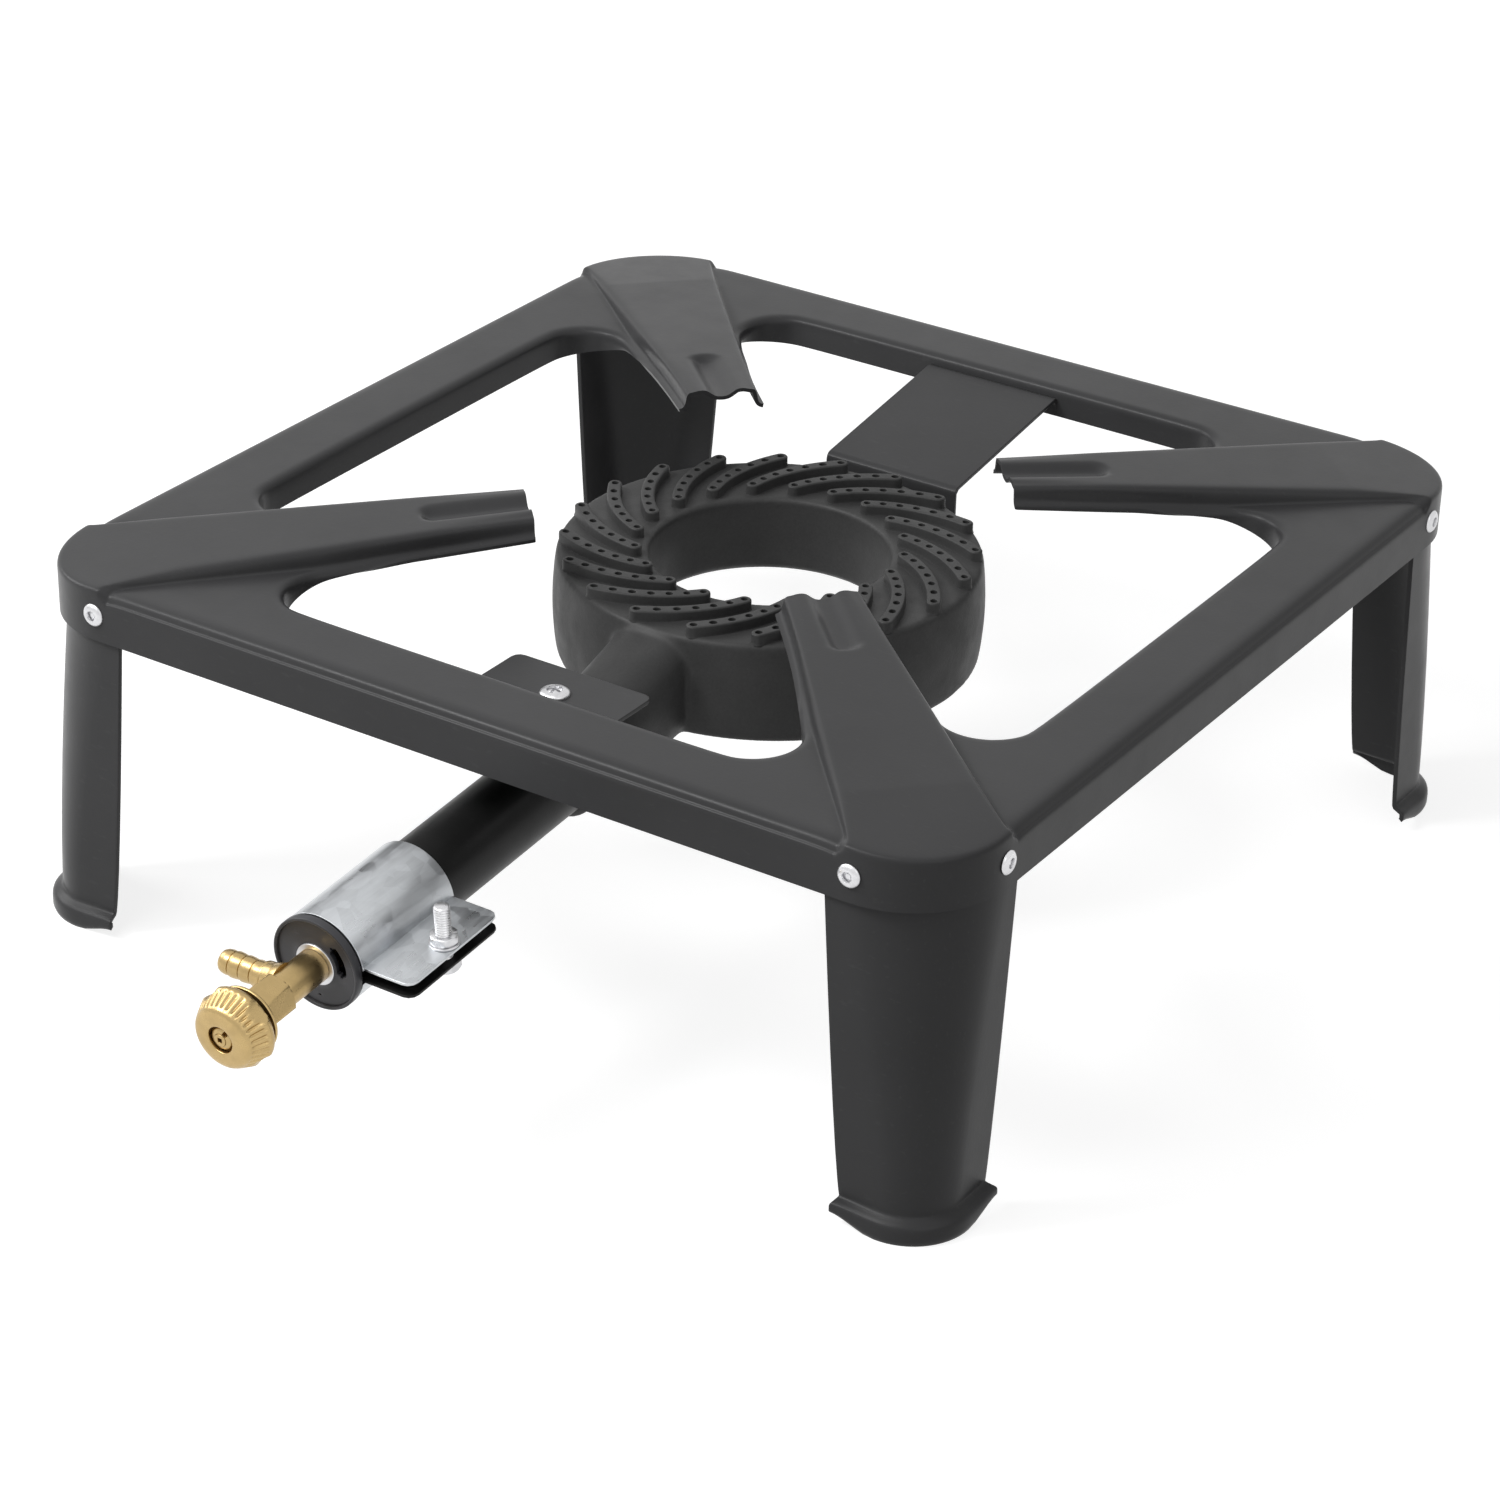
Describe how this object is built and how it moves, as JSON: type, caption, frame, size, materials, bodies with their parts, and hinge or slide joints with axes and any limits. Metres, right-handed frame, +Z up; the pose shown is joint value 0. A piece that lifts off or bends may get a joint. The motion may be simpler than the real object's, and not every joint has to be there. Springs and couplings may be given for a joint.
{
  "type": "portable gas stove",
  "caption": "Low square gas boiling ring: pressed steel frame on riveted legs, cast iron ring burner, air shutter and brass needle valve.",
  "frame": {"origin": "on the floor, under the middle of the outline box", "axes": "+Z up, -Y towards the valve and knob, +X towards the clamp ears of the air shutter"},
  "size_m": [0.4068, 0.5314, 0.1574],
  "materials": {
    "frame_enamel": "semi-gloss black stove enamel on pressed steel",
    "burner_iron": "matt black heat-proof paint over sand-cast iron",
    "tube_paint": "satin black paint",
    "disc_paint": "dark grey satin paint",
    "zinc_sheet": "galvanised sheet with spangle and fine scratches",
    "zinc_hardware": "bright zinc plating",
    "brass": "turned and drop-forged brass, satin",
    "packing": "white packing ring"
  },
  "bodies": {
    "stove": {"top_frame": "frame_enamel", "leg_front_left": "frame_enamel", "leg_front_right": "frame_enamel", "leg_rear_right": "frame_enamel", "leg_rear_left": "frame_enamel", "leg_rivets": "zinc_hardware", "burner_casting": "burner_iron", "front_bracket": "frame_enamel", "front_bracket_screw": "zinc_hardware", "rear_strap": "frame_enamel", "rear_strap_screw": "zinc_hardware", "mixing_tube": "tube_paint", "end_disc": "disc_paint", "spud_washer": "zinc_hardware", "spud_locknut": "brass", "injector_jet": "brass", "valve_body": "brass", "hose_barb": "brass", "gland_packing": "packing", "gland_nut": "brass"},
    "air_shutter": {"air_sleeve": "zinc_sheet", "sleeve_liner": "tube_paint", "clamp_bolt": "zinc_hardware", "clamp_washer": "zinc_hardware", "clamp_nut": "zinc_hardware"},
    "valve_stem": {"valve_spindle": "brass"},
    "knob": {"control_knob": "brass", "knob_nut": "brass"}
  },
  "joints": [
    {"name": "air_shutter_slide", "type": "slide", "parent": "stove", "child": "air_shutter", "axis": [0, 0.9962, 0.0872], "range_m": [0, 0.022]},
    {"name": "valve_rise", "type": "slide", "parent": "stove", "child": "valve_stem", "axis": [0, -0.9962, -0.0872], "range_m": [0, 0.0015]},
    {"name": "knob_turn", "type": "hinge", "parent": "valve_stem", "child": "knob", "pos_m": [0, -0.26475, 0.07889], "axis": [0, -0.9962, -0.0872], "range_deg": [0, 540]}
  ],
  "couplings": [
    {"joint": "knob_turn", "follows": "valve_rise", "rad_per_m": 6283.2}
  ]
}
